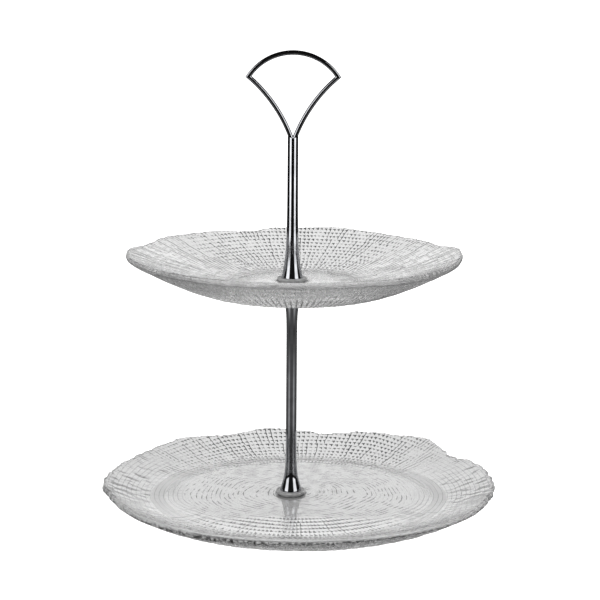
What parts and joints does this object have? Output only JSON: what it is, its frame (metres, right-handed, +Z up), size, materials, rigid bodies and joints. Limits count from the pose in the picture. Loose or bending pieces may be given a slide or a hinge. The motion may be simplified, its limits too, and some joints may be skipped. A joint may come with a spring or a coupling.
{
  "type": "tiered cake stand",
  "caption": "Tiered serving stand: clear textured glass plates on a slim dark metal post with trumpet feet, topped by a fan-shaped lifting loop.",
  "frame": {"origin": "on the table under the post's axis, in the plane of the lower plate's foot ring", "axes": "+Z up along the post, the lifting loop's flat side faces -Y (the front), +X to the viewer's right"},
  "size_m": [0.2978, 0.3041, 0.3458],
  "materials": {
    "textured_glass": "pressed, woven relief",
    "black_nickel": "polished black nickel plate",
    "zinc_steel": "bright zinc plate",
    "clear_vinyl": "soft clear vinyl"
  },
  "bodies": {
    "lower_tier": {"lower_plate": "textured_glass", "lower_under_gasket": "clear_vinyl"},
    "base_fixing": {"base_screw": "zinc_steel", "base_washer": "zinc_steel"},
    "lower_seat": {"lower_foot_gasket": "clear_vinyl"},
    "lower_column": {"lower_post": "black_nickel", "tier_stud": "zinc_steel", "upper_under_gasket": "clear_vinyl"},
    "upper_tier": {"upper_plate": "textured_glass"},
    "upper_seat": {"upper_foot_gasket": "clear_vinyl"},
    "upper_column": {"upper_post": "black_nickel", "handle_loop": "black_nickel"}
  },
  "joints": [
    {"name": "post_swivel", "type": "hinge", "parent": "lower_tier", "child": "base_fixing", "pos_m": [0, 0, 0.0046], "axis": [0, 0, 1], "continuous": true},
    {"name": "lower_post_rise", "type": "slide", "parent": "base_fixing", "child": "lower_seat", "axis": [0, 0, 1], "range_m": [0, 0.008]},
    {"name": "lower_post_unscrew", "type": "hinge", "parent": "lower_seat", "child": "lower_column", "pos_m": [0, 0, 0.0112], "axis": [0, 0, 1], "range_deg": [0, 3600]},
    {"name": "upper_plate_swivel", "type": "hinge", "parent": "lower_column", "child": "upper_tier", "pos_m": [0, 0, 0.1698], "axis": [0, 0, 1], "continuous": true},
    {"name": "upper_post_rise", "type": "slide", "parent": "lower_column", "child": "upper_seat", "axis": [0, 0, 1], "range_m": [0, 0.008]},
    {"name": "upper_post_unscrew", "type": "hinge", "parent": "upper_seat", "child": "upper_column", "pos_m": [0, 0, 0.1764], "axis": [0, 0, 1], "range_deg": [0, 3600]}
  ],
  "couplings": [
    {"joint": "lower_post_unscrew", "follows": "lower_post_rise", "rad_per_m": 7854},
    {"joint": "upper_post_unscrew", "follows": "upper_post_rise", "rad_per_m": 7854}
  ]
}
